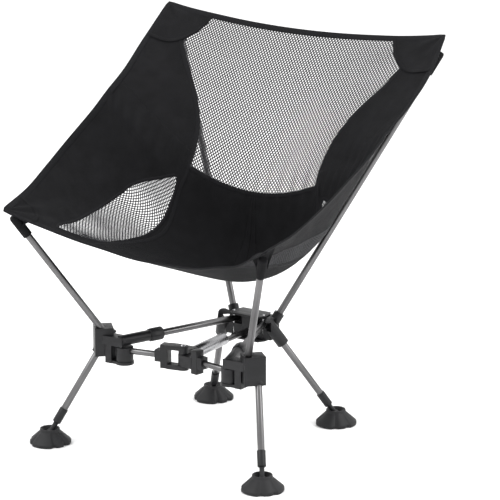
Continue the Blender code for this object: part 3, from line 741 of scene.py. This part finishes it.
def gusset(name, side, places, tip, base, grip, body, material):
    """Cloth that joins a corner of the sling to the sleeve over a pole's tip."""
    tip, base = np.array(tip) * (side, 1, 1), np.array(base) * (side, 1, 1)
    columns, rows = 25, 14
    places = fine_line(places, columns)
    above = sling(places[:, 0] * side, places[:, 1])
    axis = (base - tip) / np.linalg.norm(base - tip)
    toward = above.mean(0) - tip
    toward -= axis * (toward @ axis)
    toward /= np.linalg.norm(toward)
    over = np.cross(axis, toward)
    if (above[-1] - above[0]) @ over < 0:
        over = -over
    turns = np.linspace(-1.9, 1.9, columns)
    ring = tip + axis * grip + GUSSET_R * (np.cos(turns)[:, None] * toward + np.sin(turns)[:, None] * over)
    share = np.linspace(0, 1, rows)[:, None, None]
    sag = (np.sin(share * math.pi) * 0.0018) * np.sin(np.linspace(0, 9, columns))[None, :, None] * toward
    face = above[None] * (1 - share) + ring[None] * share + sag
    normal = np.cross(np.gradient(face, axis=1), np.gradient(face, axis=0))
    normal /= np.maximum(np.linalg.norm(normal, axis=-1, keepdims=True), 1e-9)
    points = np.concatenate([(face + normal * half * CLOTH).reshape(-1, 3) for half in (-0.5, 0.5)])
    count = rows * columns
    firsts = [r * columns + c for r in range(rows - 1) for c in range(columns - 1)]
    quads = [(i, i + 1, i + columns + 1, i + columns) for i in firsts]
    edges = {(q[i], q[(i + 1) % 4]) for q in quads for i in range(4)}
    faces = [tuple(i + count for i in q) for q in quads] + [q[::-1] for q in quads]
    faces += [(a, b, b + count, a + count) for a, b in sorted(edges) if (b, a) not in edges]
    down = np.cumsum(np.concatenate([[0.0], np.linalg.norm(np.diff(face.mean(1), axis=0), axis=1)]))
    wide = np.linalg.norm(np.diff(face, axis=1), axis=2).sum(1)
    spread = np.linspace(-0.5, 0.5, columns)[None, :] * wide[:, None]
    uv = np.stack([spread, np.repeat(down[:, None], columns, 1)], -1).reshape(-1, 2)
    made = new_object(name, points, faces, material, np.vstack([uv, uv]))
    tidy_normals(made)
    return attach(made, body)


def rim_places():
    """Round the sling's whole edge, as (across, station)."""
    share = 0.995
    front = [(a, 0.01) for a in np.linspace(-share, share, 90)]
    right = [(share, s) for s in np.linspace(0.0, TOP - 0.01, 150)[1:-1]]
    top = [(a, TOP - 0.01) for a in np.linspace(share, -share, 90)]
    left = [(-share, s) for s in np.linspace(TOP - 0.01, 0.0, 150)[1:-1]]
    return np.array(front + right + top + left)


def make_sling():
    cloth = woven_cloth("seat cloth", (0.0060, 0.0060, 0.0068), 0.0)
    tape = tape_weave("binding", (0.0055, 0.0055, 0.0065))
    netting = strand_look("netting", (0.012, 0.012, 0.014))

    stations = np.linspace(0.0, SEAT_END, 100)[:, None]
    shares = np.linspace(-1, 1, 56)[None, :]
    seat = cloth_patch("seat_cloth", shares * seam_at(stations), np.repeat(stations, 56, 1), cloth)
    cloths = on_frame(seat)
    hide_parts("seat_panel")
    for side, word in SIDES:
        one = ((side, word),)
        panel = on_frame(side_panel(side, word, cloth), one)
        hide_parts("side_panel_" + word, "front_side_panel_" + word)
        cloths += panel
        for label, corner, arc in (("top", (0.995, 8.98), TOP_ARC), ("front", (0.995, 0.0), FRONT_ARC)):
            patch = corner_patch("%s_corner_%s" % (label, word), side, corner, arc, cloth)
            cloths += on_frame(patch, one)

    gussets = []
    for side, word in SIDES:
        gussets.append(gusset("top_gusset_" + word, side, TOP_GUSSET, *BACK_POLE, 0.010, "back_frame", cloth))
        gussets.append(gusset("front_gusset_" + word, side, FRONT_GUSSET, *FRONT_POLE, 0.020, "front_" + word,
                              cloth))
    declare(gussets)

    nets = []
    areas = {}
    for side, word in SIDES:
        leaf = LEAF * (side, 1)
        parts = on_frame(net("side_net_" + word, leaf, netting), ((side, word),))
        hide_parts("hip_mesh_" + word)
        areas.update(shared_area(parts, outline_area(leaf)))
        nets += parts
    stations = np.linspace(SEAT_END, TOP - 0.03, 60)
    right = np.stack([seam_at(stations), stations], -1)
    region = np.vstack([right, (right * (-1, 1))[::-1]])
    back_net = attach(net("back_net", region, netting), "back_frame")
    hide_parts("back_mesh_panel")
    areas[back_net.name] = outline_area(region)
    declare(nets + [back_net], areas)

    tapes = []
    for side, word in SIDES:
        one = ((side, word),)
        stations = np.linspace(0.02, TOP - 0.03, 170)
        seam = np.stack([seam_at(stations) * side, stations], -1)
        tapes += on_frame(strip("seam_" + word, seam, tape, SEAM_WIDTH, TAPE_THICK), one)
        hem = strip("leaf_hem_" + word, LEAF * (side, 1), tape, HEM_WIDTH, TAPE_THICK, closed=True)
        tapes += on_frame(hem, one)
        for label, arc in (("top", TOP_ARC), ("front", FRONT_ARC)):
            line = fine_line(arc, 40) * (side, 1)
            hem = strip("%s_corner_hem_%s" % (label, word), line, cloth, 0.006, 0.0012, lift=0.0016)
            tapes += on_frame(hem, one)
    across = np.linspace(-1, 1, 110) * seam_at(np.array(SEAT_END))
    cross = np.stack([across, np.full(110, SEAT_END)], -1)
    tapes += on_frame(strip("seam_across", cross, tape, SEAM_WIDTH, TAPE_THICK))
    rim = on_frame(strip("rim", rim_places(), tape, TAPE_WIDTH, 0.0032, closed=True))
    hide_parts("rim_tape")
    tapes += rim
    declare(cloths, trims=tapes)



# ---- Frame: smoother tubes, softened mouldings --------------------------------------------
def copy_of(node, name):
    """Free copy of a CAD node's mesh in the row frame."""
    mesh = node.data.copy()
    mesh.name = name
    mesh.transform(node.matrix_world)
    made = bpy.data.objects.new(name, mesh)
    bpy.context.scene.collection.objects.link(made)
    return made


def stand_in(made, node, material):
    made.data.materials.clear()
    made.data.materials.append(material)
    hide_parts(node.name)
    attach(made, node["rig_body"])
    return made


def softened(node, material, width, segments=3):
    """Moulding with its sharp CAD edges rounded."""
    made = copy_of(node, node.name + "_soft")
    shape = bmesh.new()
    shape.from_mesh(made.data)
    bmesh.ops.remove_doubles(shape, verts=shape.verts, dist=0.00002)
    bmesh.ops.dissolve_limit(shape, angle_limit=math.radians(2), verts=shape.verts, edges=shape.edges)
    sharp = [e for e in shape.edges if len(e.link_faces) == 2 and e.calc_face_angle() > math.radians(28)]
    if sharp:
        bmesh.ops.bevel(shape, geom=sharp, offset=width, segments=segments, profile=0.5, affect="EDGES",
                        clamp_overlap=True)
    bmesh.ops.triangulate(shape, faces=[f for f in shape.faces if len(f.verts) > 4])
    bmesh.ops.recalc_face_normals(shape, faces=shape.faces)
    shape.to_mesh(made.data)
    shape.free()
    made.data.shade_smooth()
    made.data.set_sharp_from_angle(angle=math.radians(32))
    return stand_in(made, node, material)


def round_tube(node, material, lip):
    """Straight tube drawn round a CAD tube's own axis, with 40 sides and a rolled lip at each end."""
    points = np.array([node.matrix_world @ v.co for v in node.data.vertices])
    middle = points.mean(0)
    axis = np.linalg.svd(points - middle, full_matrices=False)[2][0]
    along = (points - middle) @ axis
    low, high = along.min(), along.max()
    radii = np.linalg.norm(points - middle - along[:, None] * axis, axis=1)
    radius = radii.max()
    bore = radius * 0.84
    start = middle + axis * low
    length = high - low
    soft = lip * 0.3
    profile = [
        (bore, 0.004), (bore, 0.0003), (bore + soft, 0.0), (radius - lip, 0.0), (radius - soft, soft),
        (radius, lip), (radius, length - lip), (radius - soft, length - soft), (radius - lip, length),
        (bore + soft, length), (bore, length - 0.0003), (bore, length - 0.004),
    ]
    helper = np.array([0.0, 0.0, 1.0]) if abs(axis[2]) < 0.9 else np.array([1.0, 0.0, 0.0])
    u = np.cross(axis, helper)
    u /= np.linalg.norm(u)
    v = np.cross(axis, u)
    sides = 40
    rings, faces = [], []
    for out, up in profile:
        for k in range(sides):
            angle = 2 * math.pi * k / sides
            rings.append(start + axis * up + (u * math.cos(angle) + v * math.sin(angle)) * out)
    for r in range(len(profile)):
        above = (r + 1) % len(profile)
        for k in range(sides):
            n = (k + 1) % sides
            faces.append((r * sides + k, r * sides + n, above * sides + n, above * sides + k))
    made = new_object(node.name + "_tube", rings, faces, material)
    tidy_normals(made)
    return stand_in(made, node, material)


def strand_look(name, colour):
    """Coated yarn of the open net."""
    made = Shades(name, colour, 0.5)
    grain = made.noise(260.0, 3.0)
    made.spread_colour(grain, 0.7, 1.5)
    made.spread_roughness(grain, 0.42, 0.62)
    made.bump(grain, 0.3, 0.0002)
    made.shader.inputs["Specular IOR Level"].default_value = 0.2
    return made.material


def bright_metal(name, colour, roughness):
    """Plated steel: faint turning rings and cloudy polish."""
    made = Shades(name, colour, roughness, 1.0)
    cloud = made.noise(120.0, 4.0)
    made.spread_colour(cloud, 0.85, 1.15)
    made.spread_roughness(cloud, roughness - 0.06, roughness + 0.1)
    made.bump(made.noise(600.0, 2.0), 0.15, 0.0001)
    return made.material


def make_frame():
    nodes = frame["nodes"]
    nylon = moulded_plastic("black nylon", (0.008, 0.008, 0.009), 0.42)
    rubber = moulded_plastic("rubber", (0.010, 0.010, 0.011), 0.55)
    grey = anodised("grey tube", (0.145, 0.143, 0.145), 0.30)
    bright = anodised("bright tube", (0.34, 0.34, 0.35), 0.24)
    steel = bright_metal("steel", (0.62, 0.62, 0.63), 0.22)
    cloth = woven_cloth("pocket cloth", (0.0065, 0.0065, 0.0072), 0.0)

    tubes = ("front_pole_", "back_pole_", "front_leg_", "back_leg_", "side_bar_", "half_bar_")
    for name, node in sorted(nodes.items()):
        if node.hide_render:
            continue
        if name in [start + side for start in tubes for side in ("left", "right")]:
            round_tube(node, grey, 0.0008)
        elif name == "strut_outer_tube":
            round_tube(node, bright, 0.0006)
        elif name == "strut_inner_tube":
            round_tube(node, grey, 0.0005)
        elif name.startswith(("spring_button", "bar_pin", "drum_pin", "knee_rivet")):
            softened(node, steel, 0.0005)
        elif name.startswith("foot_"):
            softened(node, rubber, 0.0011)
        elif name.endswith("_cap"):
            softened(node, rubber, 0.0005)
        elif "_pole_" in name and "_pocket" in name:
            piece = softened(node, cloth, 0.0012)
            if "cloth" not in piece.data.uv_layers:
                piece.data.uv_layers.new(name="cloth")
            place_cloth_uv(piece)
        else:
            softened(node, nylon, 0.0009)


def place_cloth_uv(thing):
    """Metre-sized cloth coordinates for a small sewn piece."""
    layer = thing.data.uv_layers["cloth"]
    for face in thing.data.polygons:
        for loop in face.loop_indices:
            spot = thing.data.vertices[thing.data.loops[loop].vertex_index].co
            layer.data[loop].uv = (spot.x + spot.y * 0.3, spot.z + spot.y * 0.3)


bpy.context.scene.view_settings.view_transform = "Standard"
make_stage()
make_sling()
make_frame()
make_camera()
